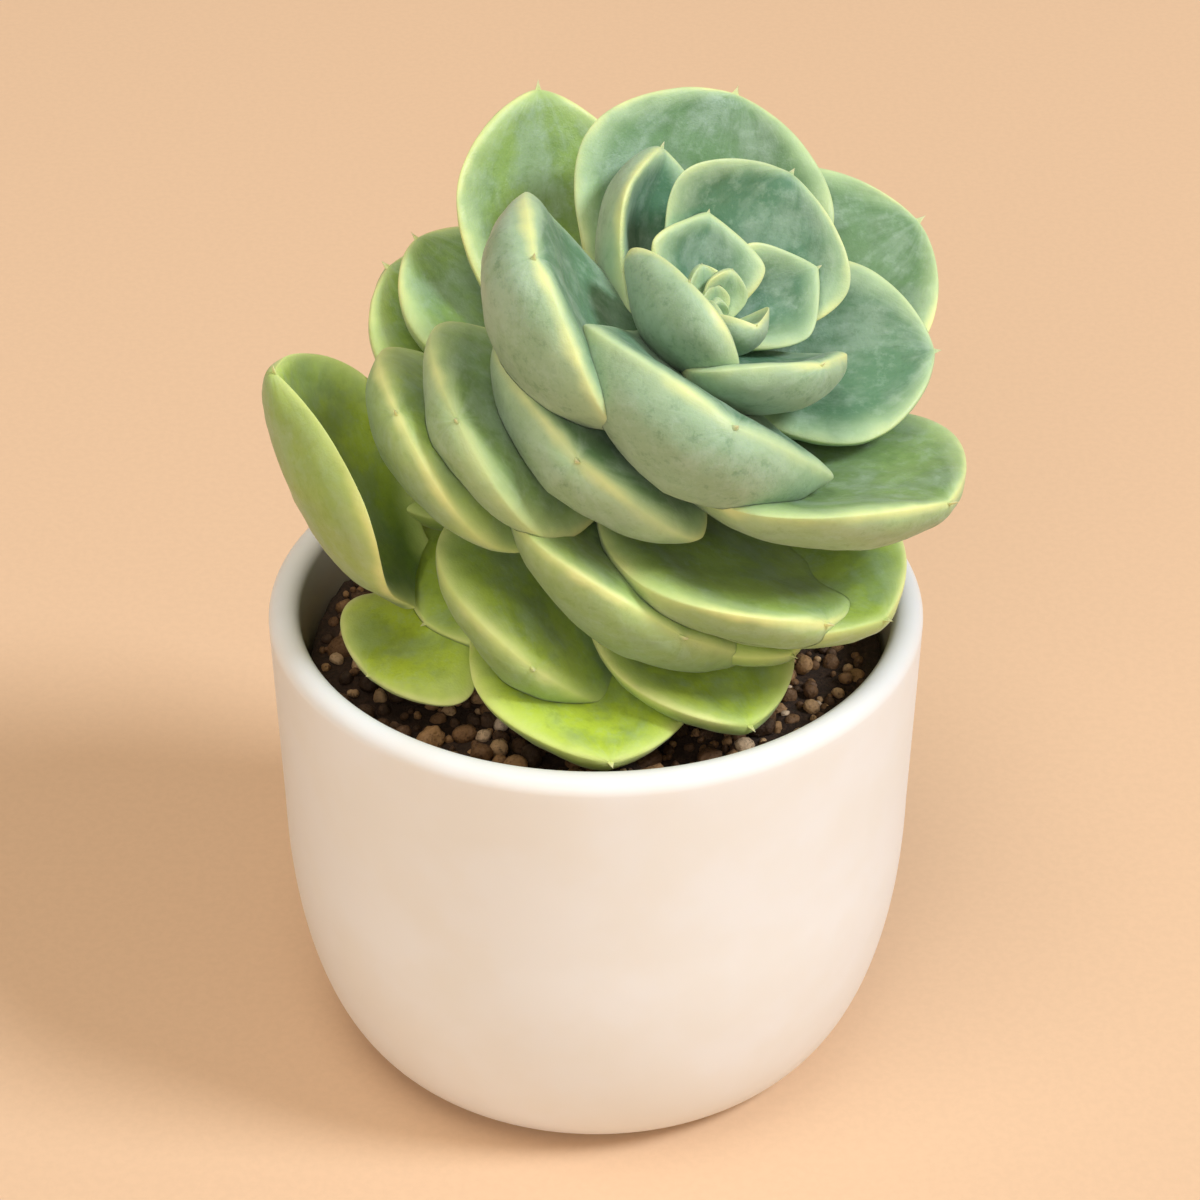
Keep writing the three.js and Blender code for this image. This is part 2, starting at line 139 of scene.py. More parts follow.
FRONT_LEAVES = [
    dict(drop=2.5, tip=(18, -16, 107.5), width=10, thick=3, bow=45, cup=0.6, sharp=0.1, roll=14),
    dict(drop=3, tip=(13, 1.5, 113), width=16, thick=4, bow=50, cup=0, fold=0.45, sharp=0.85,
         shift=(-1.5, 0, 0)),
    dict(drop=4, tip=(26, 1, 106), width=14.5, thick=4, bow=55, cup=0.2, fold=0.25, sharp=0.8),
    dict(drop=5, tip=(10.5, -16.5, 113.5), width=19.5, thick=5, bow=73, sharp=0.1, roll=-46),
    dict(drop=7, tip=(25.5, -17.5, 103.5), width=24, thick=5.5, bow=62, cup=0.15, sharp=0, roll=38),
    dict(drop=7, tip=(23, 8, 115), width=27, thick=6, bow=45, cup=0.4, roll=-4),
    dict(drop=9, tip=(8, 13, 116), width=20, thick=6.5, bow=55, cup=0.25, fold=0.35, sharp=0.65,
         roll=-24, shift=(-5, 0, 0)),
    dict(drop=9, tip=(15.5, -30.5, 103), width=36, thick=10.5, bow=78, cup=0.2, dish=0.1, roll=12),
    dict(drop=11, tip=(40.5, 0, 95.5), width=26, bow=43, cup=0.3, roll=3),
    dict(drop=11, tip=(-6.5, -20, 118.5), width=32, thick=10, bow=75, cup=0.15, dish=0.1, roll=-17),
    dict(drop=14, tip=(17, 23.5, 118.5), width=34, thick=7, bow=42, cup=0.3, roll=8, shift=(-2, 0, 0)),
    dict(drop=14, tip=(39.5, 17, 104.5), width=32, thick=6.5, bow=40, cup=0.3, roll=10),
    dict(drop=14, tip=(-2, -27, 96.5), width=33, thick=9, bow=67, dish=0.1, roll=2),
    dict(drop=20, tip=(40.5, -25, 90), width=38, thick=7.5, bow=46, cup=0.2, roll=17),
    dict(drop=20, tip=(-15.5, -23, 99.5), width=29, thick=8.5, bow=65, cup=0, dish=0.1, roll=3),
    dict(drop=24, tip=(-7, 30.5, 116), width=28, thick=7, bow=45, cup=0.3, sharp=0.4, shift=(-6, 2, 0)),
    dict(drop=22, tip=(-22.5, 21.5, 100), width=26, thick=7, bow=43, cup=0.2, roll=-2),
    dict(drop=29, tip=(-22.5, -19, 98.5), width=29, thick=8.5, bow=65, cup=0, dish=0.1, roll=6),
    dict(drop=28, tip=(-26, 19.5, 97), width=28, thick=7, bow=42, cup=0.2, sharp=0, roll=10),
    dict(drop=28, tip=(27, -28, 75.5), width=35, thick=7.5, bow=52, dish=0.1, roll=15),
    dict(drop=28, tip=(10.5, -28.5, 74), width=40, thick=8.5, bow=80, dish=0.1, roll=27),
    dict(drop=33, tip=(34, -25, 74), width=32, thick=7, bow=36, cup=0.2, roll=-6),
    dict(drop=34, tip=(-7, -27, 68.5), width=30, thick=8.5, bow=73, cup=0, dish=0.1, roll=27),
    dict(drop=40, tip=(-36.5, -11.5, 99.8), width=35, thick=4, bow=35, cup=0.4, dish=0.1, sharp=0.5,
         widest=0.5, shift=(-23, -12, -3), twist=30),
    dict(drop=37, tip=(18.5, -27, 60), width=26, thick=6, bow=38, cup=0.2),
    dict(drop=40, tip=(2, -33.5, 59.5), width=28, thick=6, bow=40, sharp=0.35, shift=(-6, 0, 0)),
    dict(drop=38, tip=(23.5, -21.5, 66.5), width=22, bow=20),
    dict(drop=38, tip=(-21, -11, 64), width=26, thick=5, bow=20),
    dict(drop=40, tip=(-27.3, -16.5, 60.5), width=21, thick=4, bow=30, cup=0, widest=0.55,
         shift=(-17, -13, -6)),
    dict(drop=40, tip=(-17, -17.5, 60), width=20, bow=20),
]

# Leaves behind and below, whose places are guessed
BACK_LEAVES = [
    dict(drop=20, tip=(31, 27, 98), width=33, bow=35, cup=0.2),
    dict(drop=22, tip=(10, 38, 100), width=34, bow=35, cup=0.2),
    dict(drop=24, tip=(38, 16, 82), width=33, bow=30, cup=0.2),
    dict(drop=28, tip=(-16, 34, 88), width=32, bow=30, cup=0.2),
    dict(drop=30, tip=(28, 33, 80), width=32, bow=30, cup=0.2),
    dict(drop=32, tip=(4, 41, 84), width=32, bow=30, cup=0.2),
    dict(drop=36, tip=(-27, 14, 74), width=29, bow=30, cup=0.2),
    dict(drop=36, tip=(-20, 33, 72), width=30, bow=25),
    dict(drop=38, tip=(14, 38, 69), width=30, bow=25),
    dict(drop=38, tip=(34, 20, 67), width=30, bow=25),
]

# How yellow a leaf is, from 0 at the heart to 1 at the foot. It starts at a drop of YELLOW_START;
# the leaves numbered in YELLOWER differ.
YELLOW_START = 10
YELLOW_RANGE = 34
YELLOWER = {24: 0.8, 25: 0.9, 26: 1, 29: 1}

# Colours, linear
GLAUCOUS = (0.095, 0.225, 0.13)
OLD_GREEN = (0.46, 0.60, 0.045)
# Deep green of the darker blotches, and of the painted shade towards each leaf's foot
DEEP_GREEN_AND_SHADE = (0.02, 0.085, 0.008)
BLOOM = (0.42, 0.56, 0.45)
# Pale halo and edge of the margins: partly their own colour, partly painted highlight along the ridges
YOUNG_HALO_AND_HIGHLIGHT = (0.50, 0.68, 0.40)
OLD_HALO_AND_HIGHLIGHT = (0.58, 0.70, 0.17)
MARGIN_AND_HIGHLIGHT = (0.80, 0.82, 0.34)
TIP_STRAW = (0.88, 0.80, 0.50)
# Undersides: the young colour is their own, the old one is darker as painted shade
YOUNG_UNDERSIDE = (0.33, 0.47, 0.30)
OLD_SHADED_UNDERSIDE = (0.25, 0.37, 0.075)
POT_WHITE = (0.82, 0.835, 0.85)
POT_WARMTH = (0.985, 0.965, 0.93)
# Brown of the painted shade inside the pot
POT_INNER_SHADE = (0.50, 0.40, 0.25)
FLOOR_BEIGE = (0.74, 0.505, 0.325)
FLOOR_SHADE = 0.97
SOIL_DARK = (0.03, 0.014, 0.006)
SOIL_BROWN = (0.075, 0.036, 0.018)
GRAIN_COLORS = ((0.0, (0.04, 0.018, 0.006)), (0.3, (0.12, 0.055, 0.02)), (0.55, (0.24, 0.12, 0.045)),
                (0.75, (0.42, 0.23, 0.095)), (0.9, (0.62, 0.40, 0.21)), (1.0, (0.78, 0.60, 0.44)))
GRAIN_VEIN = (0.3, 0.17, 0.1)
STEM_OLIVE = (0.25, 0.28, 0.08)
STEM_SCAR = (0.12, 0.1, 0.035)

# Reach of the pale margins with their painted highlight, and the radii between which the painted shade
# inside the pot starts
HALO_REACH = 5.5
EDGE_REACH = 2.2
INNER_SHADE_OUTER = 37.2
INNER_SHADE_INNER = 36.0

# Stage. A light has a name, a place in metres, a size, a power and a colour.
FLOOR_REACH = 3000
LIGHT_TARGET = (0, 0, 0.07)
LIGHTS = (
    ("key", (2.1, -0.7, 2.4), 0.9, 78, (0.86, 0.93, 1.0)),
    ("fill", (-0.5, -2.4, 1.4), 1.6, 22, (1.0, 0.97, 0.94)),
    ("top", (-0.4, -0.6, 2.4), 1.2, 20, (1.0, 0.94, 0.84)),
)
WORLD_COLOR = (1.0, 0.82, 0.62, 1)
WORLD_STRENGTH = 0.36


def smooth_step(x, low, high):
    u = np.clip((x - low) / (high - low), 0, 1)
    return u * u * (3 - 2 * u)


def unit(v):
    return v / np.linalg.norm(v)


# Meshes

def make_object(name, points, faces):
    """An object from points in millimetres."""
    mesh = bpy.data.meshes.new(name)
    mesh.from_pydata((np.asarray(points) * MM).tolist(), [], faces)
    mesh.validate()
    mesh.shade_smooth()
    piece = bpy.data.objects.new(name, mesh)
    bpy.context.scene.collection.objects.link(piece)
    return piece


def ring_faces(rings, count):
    """Faces of a tube of point rings; point 0 closes its start and the last point its end."""
    faces = []
    for i in range(rings - 1):
        a = 1 + i * count
        b = a + count
        for j in range(count):
            k = (j + 1) % count
            faces.append((a + j, a + k, b + k, b + j))
    last = 1 + rings * count
    for j in range(count):
        k = (j + 1) % count
        faces.append((0, 1 + k, 1 + j))
        faces.append((last, last - count + j, last - count + k))
    return faces


def set_float(mesh, name, values):
    attribute = mesh.attributes.new(name, "FLOAT", "POINT")
    attribute.data.foreach_set("value", np.asarray(values, np.float32))


def get_vectors(mesh, key="co"):
    """A vector of each vertex: its place, or another one by name."""
    values = np.zeros(len(mesh.vertices) * 3, np.float32)
    mesh.vertices.foreach_get(key, values)
    return values.reshape(-1, 3)


def move_points(mesh, points):
    mesh.vertices.foreach_set("co", points.astype(np.float32).ravel())
    mesh.update()


# Stem

def catmull_rom(points, steps):
    """A smooth curve through the points, with its length at each sample."""
    p = np.array(points, float)
    p = np.vstack([2 * p[0] - p[1], p, 2 * p[-1] - p[-2]])
    line = []
    for i in range(1, len(p) - 2):
        a, b, c, d = p[i - 1:i + 3]
        for u in np.arange(steps) / steps:
            line.append(0.5 * (2 * b + (c - a) * u + (2 * a - 5 * b + 4 * c - d) * u ** 2
                               + (3 * b - a - 3 * c + d) * u ** 3))
    line.append(p[-2])
    line = np.array(line)
    length = np.concatenate([[0], np.cumsum(np.linalg.norm(np.diff(line, axis=0), axis=1))])
    return line, length


STEM_LINE, STEM_LENGTH = catmull_rom(STEM_POINTS, STEM_STEPS)


def stem_point(length):
    return np.array([np.interp(length, STEM_LENGTH, STEM_LINE[:, k]) for k in range(3)])


def stem_at(drop):
    """Point and direction of the stem, drop below its top."""
    length = STEM_LENGTH[-1] - drop
    ahead = stem_point(min(length + 0.5, STEM_LENGTH[-1]))
    return stem_point(length), unit(ahead - stem_point(length - 0.5))


def build_stem():
    rings = []
    drops = np.linspace(STEM_LENGTH[-1] - 0.2, 0.3, STEM_RINGS)
    for drop in drops:
        point, along = stem_at(drop)
        front = unit(np.array([0, -1.0, 0]) + along * along[1])
        right = np.cross(along, front)
        radius = np.interp(drop, [0, STEM_TAPER], [STEM_TIP_RADIUS, STEM_RADIUS])
        ring = []
        for a in np.arange(STEM_SIDES) * 2 * math.pi / STEM_SIDES:
            bark = Vector((math.cos(a) * 1.5, math.sin(a) * 1.5, drop * 0.6))
            reach = radius + SCAR_HEIGHT * noise.noise(bark)
            ring.append(point + reach * (math.cos(a) * front + math.sin(a) * right))
        rings.append(ring)
    points = [stem_at(drops[0])[0], *np.array(rings).reshape(-1, 3), stem_at(0)[0]]
    return make_object("stem_bark", points, ring_faces(len(rings), STEM_SIDES))


# Leaves

def leaf_half_width(t, sharp, widest):
    """Half the width at a share t of the length: a narrow foot, a blade, a short point.

    sharp is 0 for a blade that closes in a round and 1 for one that runs straight to its point.
    """
    grow = LEAF_WAIST + (1 - LEAF_WAIST) * np.sin(math.pi / 2 * np.clip(t / widest, 0, 1)) ** 1.3
    s = np.clip((t - widest) / (LEAF_SHOULDER - widest), 0, 1)
    closing = (1 - sharp) * (1 - s ** 2.1) ** 0.55 + sharp * (1 - s ** 1.8)
    blade = np.where(t < widest, grow, closing)
    narrowing = np.clip((1 - t) / TIP_LENGTH, 0, 1) ** 1.2
    point = TIP_WIDTH * narrowing * np.clip((t - 0.8) / 0.1, 0, 1)
    return np.hypot(blade, point)


def leaf_thickness(t):
    """Thickness at a share t of the length, as a share of the leaf's own thickness."""
    s = np.clip((t - 0.5) / (LEAF_SHOULDER - 0.5), 0, 1)
    foot = 0.72 + 0.28 * np.sin(math.pi / 2 * np.clip(t / 0.45, 0, 1))
    return foot * (1 - s ** 2.6) ** 0.55 + 0.1 * np.clip((1 - t) / 0.05, 0, 1)


def leaf_midrib(length, bow):
    """Place and direction along an arc that runs from the foot to the tip."""
    share = np.arange(MIDRIB_STEPS + 1) / MIDRIB_STEPS
    turn = math.radians(bow)
    middle = turn * ((share[1:] + share[:-1]) / 2 - 0.5)
    x = np.concatenate([[0], np.cumsum(np.cos(middle))])
    z = np.concatenate([[0], np.cumsum(np.sin(middle))])
    scale = length / math.hypot(x[-1], z[-1])

    def rib(t):
        return np.interp(t, share, x) * scale, np.interp(t, share, z) * scale, turn * (t - 0.5)
    return rib


def leaf_stations(count):
    """Stations along the leaf, closer together towards the shoulder and the tip."""
    blade = np.linspace(0, LEAF_WIDEST, count)
    k = np.linspace(0, 1, count // 2 + 4)[1:]
    closing = LEAF_WIDEST + (LEAF_SHOULDER - LEAF_WIDEST) * np.sin(math.pi / 2 * k)
    point = np.linspace(LEAF_SHOULDER, 0.997, 8)[1:]
    return np.concatenate([blade, closing, point])


def unevenness(points, amount, wavelength, seed):
    """Soft dents and swellings of a surface, as a distance at each point."""
    offset = Vector((seed * 7.3, seed * 3.1, seed * 5.7))
    return amount * np.array([noise.noise(Vector(p) / wavelength + offset) for p in points])


def leaf_shape(leaf, stations, around):
    """Points of a leaf, with how far across it each lies, its place along it and its face."""
    width = leaf["width"]
    thick = leaf.get("thick", width * THICK_SHARE)
    cup = leaf.get("cup", 0.1)
    fold = leaf.get("fold", 0)
    dish = leaf.get("dish", 0.35)
    point, along = stem_at(leaf["drop"])
    foot = point + np.array(leaf.get("shift", (0, 0, 0)), float)
    tip = np.array(leaf["tip"], float)
    length = np.linalg.norm(tip - foot)
    chord = (tip - foot) / length

    # The upper face looks along the stem, towards the heart; roll turns it about the leaf.
    up = unit(along - (along @ chord) * chord)
    level = np.cross(up, chord)
    roll = math.radians(leaf.get("roll", 0))
    normal = up * math.cos(roll) + level * math.sin(roll)
    side = np.cross(normal, chord)

    t = stations[:, None]
    phi = np.arange(around) * 2 * math.pi / around
    s = np.cos(phi)[None, :]
    upper = (np.sin(phi) >= -1e-9)[None, :]
    half = width / 2 * leaf_half_width(t, leaf.get("sharp", 0.2), leaf.get("widest", LEAF_WIDEST))
    deep = thick / 2 * leaf_thickness(t)
    lens = (1 - np.minimum(1, np.abs(s)) ** 2.2) ** 0.68
    hollow = dish * deep * (1 - s * s) ** 2 * np.sin(math.pi * t)
    keel = KEEL_SHARE * deep * (1 - np.abs(s)) ** 2 * np.clip((t - 0.3) / 0.5, 0, 1)
    face = np.where(upper, UPPER_SHARE * deep * lens - hollow, -UNDER_SHARE * deep * lens - keel)
    n = face + half * (cup * s * s + fold * np.abs(s) ** 1.2)
    y = s * half * (1 - 0.25 * min(abs(cup) + fold, 1) * s * s)
    turn = np.radians(leaf.get("twist", 0)) * (t - 0.5)
    y, n = y * np.cos(turn) - n * np.sin(turn), y * np.sin(turn) + n * np.cos(turn)
    x, z, angle = leaf_midrib(length, leaf.get("bow", 50))(t)
    local = np.stack([x - n * np.sin(angle), np.broadcast_to(y, n.shape), z + n * np.cos(angle)], -1)
    rings = foot + local[..., :1] * chord + local[..., 1:2] * side + local[..., 2:] * normal

    return {
        "points": np.vstack([foot, rings.reshape(-1, 3), tip]),
        "along": np.concatenate([[0], np.broadcast_to(t, n.shape).ravel(), [1]]),
        "across": np.concatenate([[0], np.broadcast_to(s, n.shape).ravel(), [0]]),
        "face": np.concatenate([[0], np.broadcast_to(np.sin(phi), n.shape).ravel(), [0]]),
        "edge": np.concatenate([[width], edge_distance(rings).ravel(), [0]]),
    }


def edge_distance(rings):
    """Distance from the nearer margin, measured over the surface of each ring."""
    around = rings.shape[1]
    step = np.linalg.norm(np.roll(rings, -1, axis=1) - rings, axis=2)
    walked = np.concatenate([np.zeros((len(rings), 1)), np.cumsum(step, axis=1)], axis=1)
    whole = walked[:, -1:]
    middle = walked[:, around // 2:around // 2 + 1]
    walked = walked[:, :-1]
    return np.minimum(np.minimum(walked, np.abs(walked - middle)), whole - walked)


def grow_leaf(name, leaf, seed, fineness=1.0):
    """A whole leaf as an object, and its shape."""
    around = LEAF_AROUND if leaf["width"] > NARROW_LEAF else LEAF_AROUND // 2
    stations = leaf_stations(max(FEWEST_STATIONS, int(fineness * (BASE_STATIONS + leaf["width"]))))
    shape = leaf_shape(leaf, stations, around)
    piece = make_object(name, shape["points"], ring_faces(len(stations), around))
    size = min(1, leaf["width"] / DENTED_WIDTH)
    calm = smooth_step(shape["edge"], 0, CALM_MARGIN) * 0.75 + 0.25
    dents = unevenness(shape["points"], DENT_HEIGHT * size, DENT_SIZE * size + 1, seed) * calm
    dents += unevenness(shape["points"], PIT_HEIGHT * size, PIT_SIZE, seed + 0.5) * calm
    shape["points"] = shape["points"] + get_vectors(piece.data, "normal") * dents[:, None]
    move_points(piece.data, shape["points"] * MM)
    return piece, shape


def swollen(piece, distance):
    """A copy of a piece, grown outwards."""
    copy = piece.copy()
    copy.data = piece.data.copy()
    bpy.context.scene.collection.objects.link(copy)
    move_points(copy.data, get_vectors(copy.data) + get_vectors(copy.data, "normal") * distance * MM)
    return copy


def box_of(piece):
    points = get_vectors(piece.data)
    return points.min(0), points.max(0)


def boxes_meet(a, b):
    return bool(np.all(a[0] <= b[1]) and np.all(b[0] <= a[1]))


def cut_away(piece, cutters):
    """The piece without what lies inside the cutters."""
    for cutter in cutters:
        modifier = piece.modifiers.new("cut", "BOOLEAN")
        modifier.operation = "DIFFERENCE"
        modifier.solver = "MANIFOLD"
        modifier.object = cutter
    evaluated = piece.evaluated_get(bpy.context.evaluated_depsgraph_get())
    mesh = bpy.data.meshes.new_from_object(evaluated)
    piece.modifiers.clear()
    old = piece.data
    piece.data = mesh
    bpy.data.meshes.remove(old)


def keep_largest(piece):
    """Drops the loose scraps that a cut leaves: points that edges join share the lowest label."""
    mesh = piece.data
    count = len(mesh.vertices)
    edges = np.zeros(len(mesh.edges) * 2, np.int32)
    mesh.edges.foreach_get("vertices", edges)
    edges = edges.reshape(-1, 2)
    label = np.arange(count)
    while True:
        low = np.minimum(label[edges[:, 0]], label[edges[:, 1]])
        new = label.copy()
        np.minimum.at(new, edges[:, 0], low)
        np.minimum.at(new, edges[:, 1], low)
        new = new[new]
        if np.array_equal(new, label):
            break
        label = new
    names, sizes = np.unique(label, return_counts=True)
    if len(names) == 1:
        return
    kept = label == names[np.argmax(sizes)]
    index = np.cumsum(kept) - 1
    points = get_vectors(mesh)[kept]
    faces = [[int(index[v]) for v in p.vertices] for p in mesh.polygons if kept[p.vertices[0]]]
    clean = bpy.data.meshes.new(mesh.name)
    clean.from_pydata(points.tolist(), [], faces)
    piece.data = clean
    bpy.data.meshes.remove(mesh)


def mark_leaf(piece, shape, tone, seed):
    """Writes the leaf's own coordinates on the mesh, for its material."""
    tree = KDTree(len(shape["points"]))
    for i, p in enumerate(shape["points"] * MM):
        tree.insert(p, i)
    tree.balance()
    nearest = np.array([tree.find(v.co)[1] for v in piece.data.vertices])
    for key in ("along", "across", "face", "edge"):
        set_float(piece.data, "leaf_" + key, shape[key][nearest])
    set_float(piece.data, "leaf_tone", np.full(len(nearest), tone))
    set_float(piece.data, "leaf_seed", np.full(len(nearest), seed))


def fit_leaf(name, leaf, seed, tone, placed, fineness=1.0):
    """A leaf without what lies inside the pieces in placed; its swollen copy is added to them."""
    piece, shape = grow_leaf(name, leaf, seed, fineness)
    whole = swollen(piece, TOUCH)
    cut_away(piece, [p for p in placed if boxes_meet(box_of(piece), box_of(p))])
    keep_largest(piece)
    mark_leaf(piece, shape, tone, seed)
    piece.data.shade_smooth()
    piece.data.set_sharp_from_angle(angle=math.radians(LEAF_CREASE))
    placed.append(whole)
    return piece


def build_leaves(stem):
    """The heart and all leaves; each outer leaf gives way to the leaves inside it."""
    skin = leaf_material()
    placed = [swollen(stem, TOUCH)]
    heart = join_pieces("heart_leaves", [
        fit_leaf("heart_part", HEART_USUAL | leaf, HEART_SEED + i, 0, placed, HEART_FINENESS)
        for i, leaf in enumerate(HEART_LEAVES)])
    dress(heart, skin, "heart")
    pieces = [heart]
    for i, leaf in enumerate(FRONT_LEAVES + BACK_LEAVES):
        node = f"leaf_{i + 1:02d}"
        tone = YELLOWER.get(i + 1, max(0, (leaf["drop"] - YELLOW_START) / YELLOW_RANGE))
        piece = fit_leaf(node + "_blade", leaf, i, tone, placed)
        dress(piece, skin, node)
        pieces.append(piece)
    for helper in placed:
        bpy.data.objects.remove(helper)
    return pieces


def join_pieces(name, parts):
    """Several objects as one."""
    bpy.ops.object.select_all(action="DESELECT")
    for part in parts:
        part.select_set(True)
    bpy.context.view_layer.objects.active = parts[0]
    bpy.ops.object.join()
    parts[0].name = name
    parts[0].data.name = name
    return parts[0]


# Pot

def rounded_wall(base, wall, bottom, height, steps):
    """Profile of a wall that curves up from a flat base."""
    a = np.linspace(0, math.pi / 2, steps)
    r = base + (wall - base) * np.sin(a) ** ROUNDING_POWER
    z = bottom + height * (1 - np.cos(a) ** ROUNDING_POWER)
    return np.stack([r, z], -1)


def pot_profile():
    """Half of the pot's section, from the axis under the base round to the axis inside."""
    outside = rounded_wall(BASE_RADIUS, WALL_RADIUS, 0, ROUNDING_HEIGHT, 48)
    inside = rounded_wall(BASE_RADIUS - WALL, WALL_RADIUS - WALL, FLOOR, ROUNDING_HEIGHT - FLOOR, 24)
    lip = WALL / 2
    a = np.linspace(0, math.pi, 24)
    rim = np.stack([RIM_RADIUS - lip + lip * np.cos(a), POT_HEIGHT - lip + lip * np.sin(a)], -1)
    rise = np.linspace(0, 1, 24)[1:-1, None]
    straight = outside[-1] * (1 - rise) + rim[0] * rise
    fall = rim[-1] * (1 - rise) + inside[-1] * rise
    under = np.linspace(CENTRE_RING, BASE_RADIUS, 12)[:-1]
    floor = np.linspace(BASE_RADIUS - WALL, CENTRE_RING, 10)[1:]
    return np.vstack([
        np.stack([under, np.zeros(len(under))], -1), outside, straight, rim, fall, inside[::-1],
        np.stack([floor, np.full(len(floor), FLOOR)], -1)])


def build_pot():
    profile = pot_profile()
    a = np.arange(POT_SIDES) * 2 * math.pi / POT_SIDES
    rings = []
    for r, z in profile:
        rings.append(np.stack([r * np.cos(a), r * np.sin(a), np.full(POT_SIDES, z)], -1))
    points = np.vstack([[0, 0, 0], np.array(rings).reshape(-1, 3), [0, 0, FLOOR]])
    pot = make_object("pot_glaze", points, ring_faces(len(profile), POT_SIDES))
    pot.data.set_sharp_from_angle(angle=math.radians(POT_CREASE))
    return pot


# Soil

def soil_height(x, y):
    swell = SWELL_HEIGHT * noise.noise(Vector((x / SWELL_SIZE, y / SWELL_SIZE, 3)))
    lump = LUMP_HEIGHT * noise.noise(Vector((x / LUMP_SIZE, y / LUMP_SIZE, 8)))
    return SOIL_TOP - SOIL_DIP + swell + lump


def build_soil():
    """The body of the potting mix, a lumpy dark bed."""
    rings = []
    for i in range(1, SOIL_RINGS + 1):
        r = SOIL_RADIUS * i / SOIL_RINGS
        ring = []
        for j in range(SOIL_SIDES):
            a = 2 * math.pi * j / SOIL_SIDES
            x, y = r * math.cos(a), r * math.sin(a)
            ring.append((x, y, soil_height(x, y)))
        rings.append(ring)
    bottom = SOIL_TOP - SOIL_DEPTH
    rings.append([(x, y, bottom) for x, y, _ in rings[-1]])
    points = [(0, 0, soil_height(0, 0)), *[p for ring in rings for p in ring], (0, 0, bottom)]
    # The rings run outwards from the top, so their faces are turned over to look out.
    faces = [face[::-1] for face in ring_faces(len(rings), SOIL_SIDES)]
    return make_object("soil_bed", points, faces)


def icosphere(subdivisions):
    """Points and faces of a unit ball."""
    mesh = bpy.data.meshes.new("ball")
    bm = bmesh.new()
    bmesh.ops.create_icosphere(bm, subdivisions=subdivisions, radius=1)
    bm.to_mesh(mesh)
    bm.free()
    points = get_vectors(mesh)
    faces = np.array([p.vertices for p in mesh.polygons])
    bpy.data.meshes.remove(mesh)
    return points, faces


def random_direction(count, rng):
    """A unit vector of that many numbers."""
    return unit(np.array([rng.gauss(0, 1) for _ in range(count)]))


def grain_shapes(subdivisions, rng):
    """Irregular lumps with blunt corners."""
    ball, faces = icosphere(subdivisions)
    shapes = []
    for kind in range(GRAIN_KINDS):
        squash = np.array([rng.uniform(0.75, 1.15), rng.uniform(0.75, 1.1), rng.uniform(0.65, 0.95)])
        planes = [random_direction(3, rng) for _ in range(GRAIN_FACETS)]
        points = ball.copy().astype(float)
        for plane in planes:
            over = np.maximum(points @ plane - rng.uniform(0.62, 0.85), 0)
            points -= 0.85 * over[:, None] * plane
        rough = np.array([noise.noise(Vector(p) * 2.2 + Vector((kind * 9.1, 0, 0))) for p in ball])
        shapes.append(points * (1 + 0.12 * rough)[:, None] * squash)
    return shapes, faces


def random_turn(rng):
    """A rotation matrix."""
    w, x, y, z = random_direction(4, rng)
    return np.array([
        [1 - 2 * (y * y + z * z), 2 * (x * y - z * w), 2 * (x * z + y * w)],
        [2 * (x * y + z * w), 1 - 2 * (x * x + z * z), 2 * (y * z - x * w)],
        [2 * (x * z - y * w), 2 * (y * z + x * w), 1 - 2 * (x * x + y * y)]])


def scatter_grains(rng):
    """Place and size of each grain, the biggest first."""
    grains = []
    for count, small, big in GRAIN_COUNTS:
        for _ in range(count):
            size = rng.uniform(small, big)
            r = (GRAIN_RADIUS_REACH - size) * math.sqrt(rng.random())
            a = rng.uniform(0, 2 * math.pi)
            x, y = r * math.cos(a), r * math.sin(a)
            lift = rng.uniform(-0.2, 0.55) * size
            z = min(soil_height(x, y) + lift, GRAIN_TOP - size)
            crowded = any(
                (x - g[0]) ** 2 + (y - g[1]) ** 2 < (GRAIN_SPACING * (size + g[3])) ** 2
                for g in grains if g[3] > CROWDING_GRAIN)
            if not crowded:
                grains.append((x, y, z, size))
    return grains


def build_grains():
    """Grit of the potting mix: all grains as one mesh, each with a tone of its own."""
    rng = random.Random(GRAIN_SEED)
    fine = grain_shapes(3, rng)
    plain = grain_shapes(2, rng)
    points, faces, tones = [], [], []
    start = 0
    for x, y, z, size in scatter_grains(rng):
        shapes, shape_faces = fine if size > FINE_GRAIN else plain
        shape = rng.choice(shapes)
        points.append(shape @ random_turn(rng).T * size + (x, y, z))
        faces.extend((shape_faces + start).tolist())
        tones.append(np.full(len(shape), rng.random()))
        start += len(shape)
    grains = make_object("soil_grains", np.vstack(points), faces)
    set_float(grains.data, "grain_tone", np.concatenate(tones))
    return grains


# Materials

